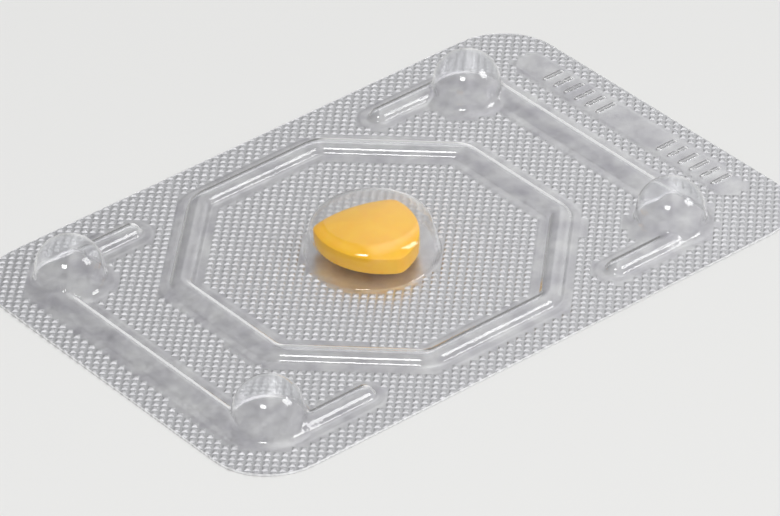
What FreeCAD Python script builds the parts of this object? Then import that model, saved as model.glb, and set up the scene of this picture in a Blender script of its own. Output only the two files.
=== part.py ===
import FreeCAD, Part
import math
import os
import re

import Sketcher
from FreeCAD import Vector

# Single-dose tablet blister pack: a formed clear film sealed onto aluminium foil around one tablet.
# X runs along the long edges, Y along the short edges, Z up. The origin is the middle of the outline,
# on the underside of the foil. Sizes are millimetres and degrees.

SIZES = {
    # outline and sheets
    "pack_length": 75.0,
    "pack_width": 50.4,
    "pack_corner_radius": 7.0,
    "film_thickness": 0.25,
    "foil_thickness": 0.03,
    # from the pack's edges to the crest lines of the staple ribs beside them
    "short_edge_margin": 5.25,
    "stamp_strip": 10.45,
    "long_edge_margin": 5.75,
    # one rib section serves the octagon and both staples, measured from the film's underside
    "rib_height": 1.3,
    "rib_crest_radius": 1.25,
    "rib_side_slope": 30.0,
    "rib_foot_radius": 0.5,
    # octagon rib around the tablet, whose crest line keeps this margin to the long edges
    "octagon_margin": 6.0,
    "octagon_corner_radius": 2.4,
    # staple ribs along the short edges, whose tabs end this far from the octagon's crest line
    "staple_corner_radius": 2.8,
    "tab_gap": 6.5,
    # domes over the corners of the staples
    "dome_height": 5.4,
    "dome_radius": 3.7,
    "dome_draft": 5.0,
    "dome_foot_radius": 1.2,
    # shield-shaped tablet with a crown on each face
    "tablet_reach": 6.1,
    "tablet_shoulder": 3.9,
    "tablet_corner_radius": 1.3,
    "tablet_top_radius": 12.2,
    "tablet_side_radius": 8.05,
    "tablet_band": 1.9,
    "tablet_crown": 1.05,
    "tablet_turn": 9.3,
    # cavity over the tablet, with the room that it leaves around the band and above the crown
    "tablet_clearance": 0.28,
    "tablet_headroom": 0.38,
    "cavity_edge_radius": 1.7,
    "cavity_draft": 12.0,
    "cavity_foot_radius": 0.3,
}

# Outline scales of the crown's sections from rim to middle, where the last one leaves a small flat.
CROWN_SCALES = (1.0, 0.85, 0.65, 0.42, 0.2)
# A formed foot meets the sheet this far below its surface, so that it crosses it at an angle.
FOOT_SINK = 0.02
# Tools that hollow the forms out start this far below the film.
TOOL_DEPTH = 1.0

# Faces are drawn as the film's outer ones, or set in from them by its thickness.
OUTER = "0"
INNER = "film_thickness"

# Crest lines in plan, from the middle of the formed layout, which sits back from the pack's middle.
SETBACK = "((stamp_strip - short_edge_margin) / 2)"
STAPLE_X = "((pack_length - short_edge_margin - stamp_strip) / 2)"
STAPLE_Y = "(pack_width / 2 - long_edge_margin)"
OCTAGON_REACH = "(pack_width / 2 - octagon_margin)"
TAB_END = f"(({OCTAGON_REACH} + tab_gap) * sqrt(2) - {STAPLE_Y})"
DOME_X = f"({STAPLE_X} - staple_corner_radius)"
DOME_Y = f"({STAPLE_Y} - staple_corner_radius)"


def crownRise(scale):
    """How high a round arc over the tablet's reach stands where the outline is at this scale."""
    bulge = "((tablet_reach^2 + tablet_crown^2) / (2 * tablet_crown))"
    return f"(sqrt({bulge}^2 - ({scale} * tablet_reach)^2) - {bulge} + tablet_crown)"


# The cavity's ceiling clears the upper crown, and its wall clears the rim on top of the band.
CROWN = crownRise(CROWN_SCALES[-1])
CAVITY_HEIGHT = f"(2 * {CROWN} + tablet_band + tablet_headroom + film_thickness)"
ABOVE_RIM = f"({CAVITY_HEIGHT} - cavity_edge_radius - {CROWN} - tablet_band)"
WALL_RUN = f"((cavity_edge_radius - film_thickness + {ABOVE_RIM} * sin(cavity_draft)) / cos(cavity_draft))"
CAVITY_FLAT = f"(tablet_reach + tablet_clearance - {WALL_RUN})"

# Round forms: height, radius of the upper edge, slope of the wall, radius of the foot and of the flat top.
RIB_TIP = {
    "height": "rib_height",
    "edge": "rib_crest_radius",
    "slope": "rib_side_slope",
    "foot": "rib_foot_radius",
    "flat": "0",
}
DOME = {
    "height": "dome_height",
    "edge": "dome_radius",
    "slope": "dome_draft",
    "foot": "dome_foot_radius",
    "flat": "0",
}
CAVITY = {
    "height": CAVITY_HEIGHT,
    "edge": "cavity_edge_radius",
    "slope": "cavity_draft",
    "foot": "cavity_foot_radius",
    "flat": CAVITY_FLAT,
}

doc = FreeCAD.newDocument("blister_pack")
sheet = doc.addObject("Spreadsheet::Sheet", "Sizes")
for row, (alias, number) in enumerate(SIZES.items(), start=1):
    sheet.set(f"A{row}", alias)
    sheet.set(f"B{row}", str(number))
    sheet.setAlias(f"B{row}", alias)
doc.recompute()


def linked(text):
    """The formula with each size's name pointed at the sheet."""
    return re.sub(r"[a-z]+(?:_[a-z]+)+", lambda name: "Sizes." + name.group(), text)


def value(text):
    """The formula's present value."""
    return float(sheet.evalExpression(text))


def newBody(label, x="0", z="0", turn="0"):
    body = doc.addObject("PartDesign::Body", label)
    body.Label = label
    body.setExpression("Placement.Base.x", linked(x))
    body.setExpression("Placement.Base.z", linked(z))
    body.Placement.Rotation = FreeCAD.Rotation(Vector(0, 0, 1), 0)
    body.setExpression("Placement.Rotation.Angle", linked(turn))
    return body


def originPlane(body, role):
    return next(feature for feature in body.Origin.OriginFeatures if feature.Role == role)


def newSketch(body, name, role, x="0", z="0"):
    """A sketch on one of the body's own planes, moved by x along it and by z off it."""
    sketch = body.newObject("Sketcher::SketchObject", name)
    sketch.AttachmentSupport = [(originPlane(body, role), "")]
    sketch.MapMode = "FlatFace"
    sketch.setExpression("AttachmentOffset.Base.x", linked(x))
    sketch.setExpression("AttachmentOffset.Base.z", linked(z))
    return sketch


def line(sketch, start, end):
    return sketch.addGeometry(Part.LineSegment(Vector(*start, 0), Vector(*end, 0)), False)


def arc(sketch, centre, radius, start, end):
    """An arc drawn anticlockwise between two angles in degrees."""
    circle = Part.Circle(Vector(*centre, 0), Vector(0, 0, 1), radius)
    return sketch.addGeometry(Part.ArcOfCircle(circle, math.radians(start), math.radians(end)), False)


def relate(sketch, kind, *places):
    sketch.addConstraint(Sketcher.Constraint(kind, *places))


def measure(sketch, kind, *places, formula):
    """A dimension bound to the sheet."""
    number = value(formula)
    if kind == "Angle":
        number = math.radians(number)
        formula = f"({formula}) * 1 deg"
    index = sketch.addConstraint(Sketcher.Constraint(kind, *places, number))
    sketch.setExpression(f"Constraints[{index}]", linked(formula))


START, END, CENTRE = 1, 2, 3
ORIGIN = (-1, START)
X_AXIS, Y_AXIS = -1, -2


def outlineSketch(body, name, x="0"):
    """The pack's outline: a rectangle with round corners whose middle lies at x."""
    sketch = newSketch(body, name, "XY_Plane", x=x)
    right, top = value("pack_length / 2"), value("pack_width / 2")
    radius = value("pack_corner_radius")
    inner_x, inner_y = right - radius, top - radius
    sides = [
        line(sketch, (-inner_x, -top), (inner_x, -top)),
        line(sketch, (right, -inner_y), (right, inner_y)),
        line(sketch, (inner_x, top), (-inner_x, top)),
        line(sketch, (-right, inner_y), (-right, -inner_y)),
    ]
    corners = [
        arc(sketch, (inner_x, -inner_y), radius, -90, 0),
        arc(sketch, (inner_x, inner_y), radius, 0, 90),
        arc(sketch, (-inner_x, inner_y), radius, 90, 180),
        arc(sketch, (-inner_x, -inner_y), radius, 180, 270),
    ]
    for index, corner in enumerate(corners):
        relate(sketch, "Tangent", sides[index], END, corner, START)
        relate(sketch, "Tangent", corner, END, sides[(index + 1) % 4], START)
        relate(sketch, "Vertical" if index % 2 else "Horizontal", sides[index])
        if index:
            relate(sketch, "Equal", corners[0], corner)
    relate(sketch, "Symmetric", corners[0], CENTRE, corners[2], CENTRE, *ORIGIN)
    measure(sketch, "Radius", corners[0], formula="pack_corner_radius")
    long_run = "pack_length - 2 * pack_corner_radius"
    short_run = "pack_width - 2 * pack_corner_radius"
    measure(sketch, "DistanceX", sides[0], START, sides[0], END, formula=long_run)
    measure(sketch, "DistanceY", sides[1], START, sides[1], END, formula=short_run)
    return sketch


def ribSection(body, name, reach, inward, floor):
    """The rib's section about its crest line, set in from the outer face, with flared feet."""
    sketch = newSketch(body, name, "XZ_Plane", x=reach)
    slope = value("rib_side_slope")
    crest_rise = "rib_height - rib_crest_radius"
    foot_rise = f"film_thickness + rib_foot_radius - {FOOT_SINK}"
    crest = value(f"rib_crest_radius - {inward}")
    crest_z = value(crest_rise)
    foot = value(f"rib_foot_radius + {inward}")
    foot_z = value(foot_rise)
    lean, rise = math.sin(math.radians(slope)), math.cos(math.radians(slope))
    # The foot arc's middle lies one foot radius outside the line that leans off the crest circle.
    foot_x = (crest + foot + (crest_z - foot_z) * lean) / rise
    low = value(floor)
    crest_end = (crest * rise, crest_z + crest * lean)
    foot_start = (foot_x - foot * rise, foot_z - foot * lean)
    foot_end = (foot_x, foot_z - foot)
    base = line(sketch, (-foot_x, low), (foot_x, low))
    right_side = line(sketch, (foot_x, low), foot_end)
    right_foot = arc(sketch, (foot_x, foot_z), foot, 180 + slope, 270)
    right_slope = line(sketch, foot_start, crest_end)
    top = arc(sketch, (0, crest_z), crest, slope, 180 - slope)
    left_slope = line(sketch, (-crest_end[0], crest_end[1]), (-foot_start[0], foot_start[1]))
    left_foot = arc(sketch, (-foot_x, foot_z), foot, 270, 360 - slope)
    left_side = line(sketch, (-foot_end[0], foot_end[1]), (-foot_x, low))
    relate(sketch, "Coincident", base, END, right_side, START)
    relate(sketch, "Coincident", right_side, END, right_foot, END)
    relate(sketch, "Tangent", right_foot, START, right_slope, START)
    relate(sketch, "Tangent", right_slope, END, top, START)
    relate(sketch, "Tangent", top, END, left_slope, START)
    relate(sketch, "Tangent", left_slope, END, left_foot, END)
    relate(sketch, "Coincident", left_foot, START, left_side, START)
    relate(sketch, "Coincident", left_side, END, base, START)
    relate(sketch, "Symmetric", base, START, base, END, Y_AXIS)
    relate(sketch, "Vertical", right_side)
    relate(sketch, "Vertical", left_side)
    relate(sketch, "Vertical", right_foot, CENTRE, right_foot, END)
    relate(sketch, "Vertical", left_foot, CENTRE, left_foot, START)
    relate(sketch, "Equal", right_foot, left_foot)
    relate(sketch, "PointOnObject", top, CENTRE, Y_AXIS)
    measure(sketch, "Radius", top, formula=f"rib_crest_radius - {inward}")
    measure(sketch, "Radius", right_foot, formula=f"rib_foot_radius + {inward}")
    measure(sketch, "DistanceY", *ORIGIN, top, CENTRE, formula=crest_rise)
    measure(sketch, "DistanceY", *ORIGIN, right_foot, CENTRE, formula=foot_rise)
    measure(sketch, "DistanceY", *ORIGIN, left_foot, CENTRE, formula=foot_rise)
    measure(sketch, "DistanceY", *ORIGIN, base, START, formula=floor)
    measure(sketch, "Angle", Y_AXIS, right_slope, formula="rib_side_slope")
    return sketch



def halfSection(body, name, form, x, y, inward, floor):
    """Half of a round form's section beside its upright axis at x and y, with a flared foot."""
    sketch = newSketch(body, name, "XZ_Plane", x=x, z=f"-({y})")
    slope = value(form["slope"])
    flat = value(form["flat"])
    top_rise = f"{form['height']} - {form['edge']}"
    foot_rise = f"film_thickness + {form['foot']} - {FOOT_SINK}"
    top = value(f"{form['edge']} - {inward}")
    top_z = value(top_rise)
    foot = value(f"{form['foot']} + {inward}")
    foot_z = value(foot_rise)
    lean, rise = math.sin(math.radians(slope)), math.cos(math.radians(slope))
    foot_x = flat + (top + foot + (top_z - foot_z) * lean) / rise
    low, high = value(floor), top_z + top
    base = line(sketch, (-foot_x, low), (0, low))
    axis = line(sketch, (0, low), (0, high))
    edge = arc(sketch, (-flat, top_z), top, 90, 180 - slope)
    wall_foot = (foot * rise - foot_x, foot_z - foot * lean)
    wall_top = (-flat - top * rise, top_z + top * lean)
    wall = line(sketch, wall_foot, wall_top)
    flare = arc(sketch, (-foot_x, foot_z), foot, 270, 360 - slope)
    side = line(sketch, (-foot_x, foot_z - foot), (-foot_x, low))
    relate(sketch, "Coincident", base, END, axis, START)
    relate(sketch, "Tangent", edge, END, wall, END)
    relate(sketch, "Tangent", wall, START, flare, END)
    relate(sketch, "Coincident", flare, START, side, START)
    relate(sketch, "Coincident", side, END, base, START)
    relate(sketch, "Horizontal", base)
    relate(sketch, "Vertical", side)
    relate(sketch, "Vertical", flare, CENTRE, flare, START)
    relate(sketch, "PointOnObject", base, END, Y_AXIS)
    relate(sketch, "PointOnObject", axis, END, Y_AXIS)
    if flat:
        lid = line(sketch, (0, high), (-flat, high))
        relate(sketch, "Coincident", axis, END, lid, START)
        relate(sketch, "Tangent", lid, END, edge, START)
        relate(sketch, "Horizontal", lid)
        measure(sketch, "DistanceX", lid, END, lid, START, formula=form["flat"])
    else:
        relate(sketch, "Coincident", axis, END, edge, START)
        relate(sketch, "PointOnObject", edge, CENTRE, Y_AXIS)
    measure(sketch, "Radius", edge, formula=f"{form['edge']} - {inward}")
    measure(sketch, "Radius", flare, formula=f"{form['foot']} + {inward}")
    measure(sketch, "DistanceY", *ORIGIN, edge, CENTRE, formula=top_rise)
    measure(sketch, "DistanceY", *ORIGIN, flare, CENTRE, formula=foot_rise)
    measure(sketch, "DistanceY", *ORIGIN, base, END, formula=floor)
    measure(sketch, "Angle", wall, Y_AXIS, formula=form["slope"])
    return sketch


def octagonPath(body):
    """The octagon rib's crest line in plan, from the middle of its +X side."""
    sketch = newSketch(body, "octagon_path", "XY_Plane")
    reach, radius = value(OCTAGON_REACH), value("octagon_corner_radius")
    half = (reach - radius) * math.tan(math.radians(22.5))
    across = reach - radius

    def turned(x, y, step):
        spin = math.radians(45 * step)
        return (x * math.cos(spin) - y * math.sin(spin), x * math.sin(spin) + y * math.cos(spin))

    first = line(sketch, (reach, 0), (reach, half))
    sides = [line(sketch, turned(reach, -half, step), turned(reach, half, step)) for step in range(1, 8)]
    last = line(sketch, (reach, -half), (reach, 0))
    corners = [
        arc(sketch, turned(across, half, step), radius, 45 * step, 45 * step + 45) for step in range(8)
    ]
    chain = [first, *sides, last]
    for step, corner in enumerate(corners):
        relate(sketch, "Tangent", chain[step], END, corner, START)
        relate(sketch, "Tangent", corner, END, chain[step + 1], START)
        if step:
            relate(sketch, "Equal", corners[0], corner)
    relate(sketch, "Coincident", last, END, first, START)
    relate(sketch, "PointOnObject", first, START, X_AXIS)
    relate(sketch, "Vertical", first)
    relate(sketch, "Vertical", last)
    measure(sketch, "Radius", corners[0], formula="octagon_corner_radius")
    measure(sketch, "DistanceX", *ORIGIN, first, START, formula=OCTAGON_REACH)
    for step, side in enumerate(sides, start=1):
        measure(sketch, "Distance", *ORIGIN, side, formula=OCTAGON_REACH)
        if step % 4 == 0:
            relate(sketch, "Vertical", side)
        elif step % 2 == 0:
            relate(sketch, "Horizontal", side)
        else:
            measure(sketch, "Angle", X_AXIS, side, formula=f"{90 + 45 * step}")
    return sketch


def staplePath(body):
    """A quarter of the staples' crest lines in plan, from a short edge's middle to a tab's end."""
    sketch = newSketch(body, "staple_path", "XY_Plane")
    reach_x, reach_y = value(STAPLE_X), value(STAPLE_Y)
    radius, tab_end = value("staple_corner_radius"), value(TAB_END)
    bar = line(sketch, (reach_x, 0), (reach_x, reach_y - radius))
    corner = arc(sketch, (reach_x - radius, reach_y - radius), radius, 0, 90)
    tab = line(sketch, (reach_x - radius, reach_y), (tab_end, reach_y))
    relate(sketch, "Tangent", bar, END, corner, START)
    relate(sketch, "Tangent", corner, END, tab, START)
    relate(sketch, "PointOnObject", bar, START, X_AXIS)
    relate(sketch, "Vertical", bar)
    relate(sketch, "Horizontal", tab)
    measure(sketch, "Radius", corner, formula="staple_corner_radius")
    measure(sketch, "DistanceX", *ORIGIN, bar, START, formula=STAPLE_X)
    measure(sketch, "DistanceX", *ORIGIN, tab, END, formula=TAB_END)
    measure(sketch, "DistanceY", *ORIGIN, tab, END, formula=STAPLE_Y)
    return sketch


def swept(body, kind, name, section, path):
    feature = body.newObject(kind, name)
    feature.Profile = section
    feature.Spine = path
    return feature


def turnedForm(body, kind, name, sketch, angle):
    feature = body.newObject(kind, name)
    feature.Profile = sketch
    feature.ReferenceAxis = (sketch, ["V_Axis"])
    feature.Midplane = True
    feature.Angle = angle
    return feature


def inFourQuarters(body, name, features):
    """Repeats features across both of the layout's middle planes."""
    pattern = body.newObject("PartDesign::MultiTransform", name)
    pattern.Originals = features
    mirrors = []
    for role in ("YZ_Plane", "XZ_Plane"):
        mirror = body.newObject("PartDesign::Mirrored", f"{name}_{role[:2].lower()}")
        mirror.MirrorPlane = (originPlane(body, role), [""])
        mirrors.append(mirror)
    pattern.Transformations = mirrors
    body.Tip = pattern


def filmForms(body, paths, stage, pipe, turn, inward, floor):
    """Every raised form of the film, added from its outer faces or cut out from its inner ones."""
    octagon_path, staple_path = paths
    octagon = ribSection(body, f"octagon_{stage}_section", OCTAGON_REACH, inward, floor)
    swept(body, pipe, f"octagon_{stage}", octagon, octagon_path)
    cavity = halfSection(body, f"cavity_{stage}_section", CAVITY, "0", "0", inward, floor)
    turnedForm(body, turn, f"cavity_{stage}", cavity, 360)
    bar = ribSection(body, f"staple_{stage}_section", STAPLE_X, inward, floor)
    tab_end = halfSection(body, f"tab_end_{stage}_section", RIB_TIP, TAB_END, STAPLE_Y, inward, floor)
    bell = halfSection(body, f"dome_{stage}_section", DOME, DOME_X, DOME_Y, inward, floor)
    quarter = [
        swept(body, pipe, f"staple_{stage}", bar, staple_path),
        turnedForm(body, turn, f"tab_end_{stage}", tab_end, 180),
        turnedForm(body, turn, f"dome_{stage}", bell, 360),
    ]
    inFourQuarters(body, f"corners_{stage}", quarter)


def shieldSketch(body, scale, height):
    """The tablet's outline at a scale: three wide arcs joined by three tight ones, left like right."""
    sketch = newSketch(body, "shield_outline", "XY_Plane", z=height)
    tight = value("tablet_corner_radius") * scale
    ring = value("tablet_reach") * scale - tight
    shoulder = value("tablet_shoulder") * scale
    wide_top = value("tablet_top_radius") * scale
    wide_side = value("tablet_side_radius") * scale
    corner_y = math.sqrt(ring**2 - shoulder**2)
    top_y = corner_y - math.sqrt((wide_top - tight) ** 2 - shoulder**2)
    # The side arc's middle is as far from the shoulder's middle as from the tip's.
    rise_x, rise_y = shoulder / 2, (corner_y + ring) / 2
    half = math.hypot(rise_x, rise_y)
    back = math.sqrt((wide_side - tight) ** 2 - half**2) / half
    side_x, side_y = rise_x - back * rise_y, rise_y - ring + back * rise_x

    def heading(x, y):
        return math.degrees(math.atan2(y, x))

    top_turn = heading(shoulder, corner_y - top_y)
    upper_turn = heading(shoulder - side_x, corner_y - side_y)
    lower_turn = heading(-side_x, -ring - side_y)
    top = arc(sketch, (0, top_y), wide_top, top_turn, 180 - top_turn)
    right_corner = arc(sketch, (shoulder, corner_y), tight, upper_turn, top_turn)
    right = arc(sketch, (side_x, side_y), wide_side, lower_turn, upper_turn)
    tip = arc(sketch, (0, -ring), tight, 180 - lower_turn, 360 + lower_turn)
    left = arc(sketch, (-side_x, side_y), wide_side, 180 - upper_turn, 180 - lower_turn)
    left_corner = arc(sketch, (-shoulder, corner_y), tight, 180 - top_turn, 180 - upper_turn)
    chain = [right_corner, top, left_corner, left, tip, right]
    for before, after in zip(chain, chain[1:] + chain[:1]):
        relate(sketch, "Tangent", before, END, after, START)
    relate(sketch, "Symmetric", right_corner, CENTRE, left_corner, CENTRE, Y_AXIS)
    relate(sketch, "PointOnObject", tip, CENTRE, Y_AXIS)
    relate(sketch, "Equal", right_corner, left_corner)
    relate(sketch, "Equal", right_corner, tip)
    relate(sketch, "Equal", right, left)
    ring_formula = f"{scale} * (tablet_reach - tablet_corner_radius)"
    measure(sketch, "Radius", right_corner, formula=f"{scale} * tablet_corner_radius")
    measure(sketch, "Radius", top, formula=f"{scale} * tablet_top_radius")
    measure(sketch, "Radius", right, formula=f"{scale} * tablet_side_radius")
    measure(sketch, "DistanceX", *ORIGIN, right_corner, CENTRE, formula=f"{scale} * tablet_shoulder")
    measure(sketch, "Distance", *ORIGIN, right_corner, CENTRE, formula=ring_formula)
    measure(sketch, "DistanceY", tip, CENTRE, *ORIGIN, formula=ring_formula)
    return sketch


def makeTablet():
    """The tablet, lying on the foil in the middle of the cavity: an upright band and two crowns."""
    resting = f"foil_thickness + tablet_band / 2 + {CROWN}"
    body = newBody("tablet", x=f"-{SETBACK}", z=resting, turn="-tablet_turn")
    band = body.newObject("PartDesign::Pad", "band")
    band.Profile = shieldSketch(body, 1, "0")
    band.Midplane = True
    band.setExpression("Length", linked("tablet_band"))
    sections = [
        shieldSketch(body, scale, f"tablet_band / 2 + {crownRise(scale)}") for scale in CROWN_SCALES
    ]
    crown = body.newObject("PartDesign::AdditiveLoft", "crown")
    crown.Profile = sections[0]
    crown.Sections = sections[1:]
    other = body.newObject("PartDesign::Mirrored", "other_crown")
    other.Originals = [crown]
    other.MirrorPlane = (originPlane(body, "XY_Plane"), [""])
    body.Tip = other
    return body


def makeFoil():
    """The lidding foil, as wide as the film that it closes."""
    body = newBody("lidding_foil")
    foil = body.newObject("PartDesign::Pad", "foil")
    foil.Profile = outlineSketch(body, "foil_outline")
    foil.setExpression("Length", linked("foil_thickness"))
    return body


def makeFilm():
    """The film: a flat web, then every form raised from it, then every form hollowed from below."""
    body = newBody("blister_film", x=f"-{SETBACK}", z="foil_thickness")
    web = body.newObject("PartDesign::Pad", "web")
    web.Profile = outlineSketch(body, "web_outline", x=SETBACK)
    web.setExpression("Length", linked("film_thickness"))
    paths = (octagonPath(body), staplePath(body))
    pipe, turn = "PartDesign::AdditivePipe", "PartDesign::Revolution"
    filmForms(body, paths, "form", pipe, turn, OUTER, "film_thickness / 2")
    pipe, turn = "PartDesign::SubtractivePipe", "PartDesign::Groove"
    filmForms(body, paths, "hollow", pipe, turn, INNER, f"-{TOOL_DEPTH}")
    return body


def check(bodies):
    """Stops the build if any object failed or a piece isn't one valid solid."""
    for thing in doc.Objects:
        if {"Invalid", "Error"} & set(thing.State):
            raise RuntimeError(f"{thing.Name}: {thing.getStatusString()}")
        if thing.TypeId == "Sketcher::SketchObject" and not thing.FullyConstrained:
            raise RuntimeError(f"{thing.Name} is loose")
    for body in bodies:
        shape = body.Shape
        if shape.isNull() or not shape.isValid() or len(shape.Solids) != 1:
            raise RuntimeError(f"{body.Label} isn't one valid solid")
        print(f"{body.Label}: {shape.Volume:.2f} mm3")


bodies = [makeFilm(), makeFoil(), makeTablet()]
doc.recompute()
check(bodies)
os.makedirs("parts", exist_ok=True)
for body in bodies:
    body.Shape.exportStep(f"parts/{body.Label}.step")
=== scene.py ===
import math

import bmesh
import bpy
import numpy as np
from mathutils import Matrix, Vector
from mathutils.geometry import delaunay_2d_cdt
from mathutils.kdtree import KDTree


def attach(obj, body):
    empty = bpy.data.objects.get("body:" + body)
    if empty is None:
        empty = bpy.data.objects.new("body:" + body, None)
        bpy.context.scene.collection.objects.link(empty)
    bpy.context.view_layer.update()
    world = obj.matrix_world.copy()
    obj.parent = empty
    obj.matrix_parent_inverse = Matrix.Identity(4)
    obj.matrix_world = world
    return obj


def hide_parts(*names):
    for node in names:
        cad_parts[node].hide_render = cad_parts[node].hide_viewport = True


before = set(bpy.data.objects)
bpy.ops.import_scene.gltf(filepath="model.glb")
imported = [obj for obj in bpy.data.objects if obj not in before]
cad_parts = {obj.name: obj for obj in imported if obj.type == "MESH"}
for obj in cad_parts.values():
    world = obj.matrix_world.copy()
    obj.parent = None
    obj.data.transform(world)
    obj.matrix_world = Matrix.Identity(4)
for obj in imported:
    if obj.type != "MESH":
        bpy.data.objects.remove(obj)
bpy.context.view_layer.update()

mm = 0.001
scene = bpy.context.scene

# The pack's plan, in millimetres. It is the same layout as the CAD's.
pack = {
    "length": 75.0,
    "width": 50.4,
    "cornerRadius": 7.0,
    "cornerSteps": 12,
    "edgeStep": 1.0,
    "layoutX": -2.6,  # middle of the formed layout
    "foilTop": 0.03,
    "stampLineX": 33.6,
}


# Camera

cameraSetup = {
    "place": (-0.30999, -0.39392, 0.34094),
    "right": (0.77355, -0.63310, -0.02857),
    "up": (0.37586, 0.42201, 0.82501),
    "lens": 267.4,
    "sensor": 36.0,
    "nearest": 0.01,
}


def makeCamera(setup):
    data = bpy.data.cameras.new("camera")
    data.lens = setup["lens"]
    data.sensor_width = setup["sensor"]
    data.clip_start = setup["nearest"]
    camera = bpy.data.objects.new("camera", data)
    scene.collection.objects.link(camera)
    right = Vector(setup["right"]).normalized()
    back = right.cross(Vector(setup["up"])).normalized()
    up = back.cross(right)
    turned = Matrix((right, up, back)).transposed().to_4x4()
    camera.matrix_world = Matrix.Translation(setup["place"]) @ turned
    scene.camera = camera


makeCamera(cameraSetup)
print("camera placed")


# Small helpers for meshes and node trees

def newMeshObject(name, points, faces, smooth=True):
    mesh = bpy.data.meshes.new(name)
    mesh.from_pydata([tuple(p) for p in points], [], [tuple(f) for f in faces])
    mesh.update()
    if smooth:
        mesh.shade_smooth()
    made = bpy.data.objects.new(name, mesh)
    scene.collection.objects.link(made)
    return made


def newMaterial(name):
    material = bpy.data.materials.new(name)
    material.use_nodes = True
    tree = material.node_tree
    tree.nodes.clear()
    return material, tree


def addNode(tree, kind, **settings):
    node = tree.nodes.new(kind)
    for key, setting in settings.items():
        setattr(node, key, setting)
    return node


def setInputs(node, **settings):
    for key, setting in settings.items():
        node.inputs[key.replace("_", " ")].default_value = setting
    return node


def link(tree, source, target):
    tree.links.new(source, target)


# Plan outline, going round anticlockwise

def outlinePoints(step):
    halfX, halfY = pack["length"] / 2, pack["width"] / 2
    radius = pack["cornerRadius"]
    points = []
    corners = [(1, 1, 0), (-1, 1, 90), (-1, -1, 180), (1, -1, 270)]
    for index, (signX, signY, start) in enumerate(corners):
        centre = np.array([signX * (halfX - radius), signY * (halfY - radius)])
        for k in range(pack["cornerSteps"] + 1):
            angle = math.radians(start + 90 * k / pack["cornerSteps"])
            points.append(centre + radius * np.array([math.cos(angle), math.sin(angle)]))
        following = corners[(index + 1) % 4]
        angle = math.radians(following[2])
        goal = np.array([following[0] * (halfX - radius), following[1] * (halfY - radius)])
        goal = goal + radius * np.array([math.cos(angle), math.sin(angle)])
        length = np.linalg.norm(goal - points[-1])
        count = max(1, round(length / step))
        first = points[-1]
        for k in range(1, count):
            points.append(first + (goal - first) * k / count)
    return np.array(points)


# Foil sizes come first, because the film's unsealed bands follow the same zones

foil = {
    "thickness": 0.03,
    "pitch": 0.872,
    "turn": -44.46,
    "latticeAt": (18.2004, 0.7426),  # the pack's middle, counted in knurl cells
    "latticeAxes": ((0.71374, -0.70041), (-0.70041, -0.71374)),
    "cells": 108,
    "baseShare": 0.78,
    "topShare": 0.39,
    "knurlHeight": 0.207,
    "ribClear": 2.5,
    "domeClear": 4.9,
    "cavityClear": 7.5,
    "stampClear": 2.0,
    "stampEnds": (-15.3, 16.7),
    "waveHeight": 0.05,
    "waveSize": 3.2,
    "waveFade": 2.0,  # over this far into a smooth zone the waves reach full height
}


# Clear film: one thermoformed sheet, as a height over the plan

film = {
    "thickness": 0.25,
    "underside": 0.034,  # a hair above the foil
    "octagonReach": 19.2,
    "octagonCorner": 2.4,
    "stapleX": 29.65,
    "stapleY": 19.45,
    "stapleCorner": 2.8,
    "tabEnd": 16.895,
    "blend": 2.6,  # how softly forms run into each other, higher is crisper
    "drawnThin": 0.3,  # share of the thickness that is left at full draw
    "drawnFull": 4.0,
    "unsealedLift": 0.04,  # the smooth band beside a form stands this proud of the sealed web
    "unsealedEdge": 0.5,
    "ribBand": 2.35,
    "domeBand": 4.95,
    "cavityBand": 7.3,
    "stampBand": 1.9,
    "rib": {"height": 1.3, "edge": 1.25, "slope": 30.0, "foot": 0.5, "flat": 0.0},
    "dome": {"height": 5.4, "edge": 3.7, "slope": 5.0, "foot": 1.2, "flat": 0.0},
    "cavity": {"height": 4.548, "edge": 1.7, "slope": 12.0, "foot": 0.3, "flat": 4.9105},
    "markStarts": (-14.2, 4.4),  # where the strip's two fields of bars begin
    "markOrders": ("wnwwnw", "wwnwnw"),  # w for one wide bar, n for two narrow ones
    "markPitch": 1.75,
    "wideHalf": 1.05,
    "narrowHalf": 0.36,
    "narrowShift": 0.68,
    "markRise": 0.2,
    "markHalf": 0.16,
    "markEdge": 0.26,
    "footSink": 0.02,
    "unevenness": 0.012,
    "waves": ((0.35, 0.21, 0.4), (-0.27, 0.44, 1.9), (0.61, -0.33, 3.1), (0.18, 0.72, 5.0)),
    "alongStep": 0.5,
    "webStep": 2.2,
    "webInset": 0.8,
    "apart": (0, 0.1, 0.1, 0.1, 0.02, 0.05, 0.9),  # outline, domes, cavity, staples, octagon, stamp, web
    "nudge": 0.01,  # for the slopes of the surface
}


bandShares = (-1.0, -0.5, 0.0, 0.5, 1.0)  # where points lie across the soft edge of a band


def sectionPoints(form):
    # where the section's arcs and wall meet, as distance from the crest and height
    slope = math.radians(form["slope"])
    top = np.array([form["flat"], form["height"] - form["edge"]])
    out = np.array([math.cos(slope), math.sin(slope)])
    shoulder = top + form["edge"] * out
    footHeight = film["thickness"] + form["foot"] - film["footSink"]
    ankleHeight = footHeight - form["foot"] * out[1]
    ankle = np.array([shoulder[0] + (shoulder[1] - ankleHeight) * math.tan(slope), ankleHeight])
    footCentre = ankle + form["foot"] * out
    return top, shoulder, ankle, footCentre


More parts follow.
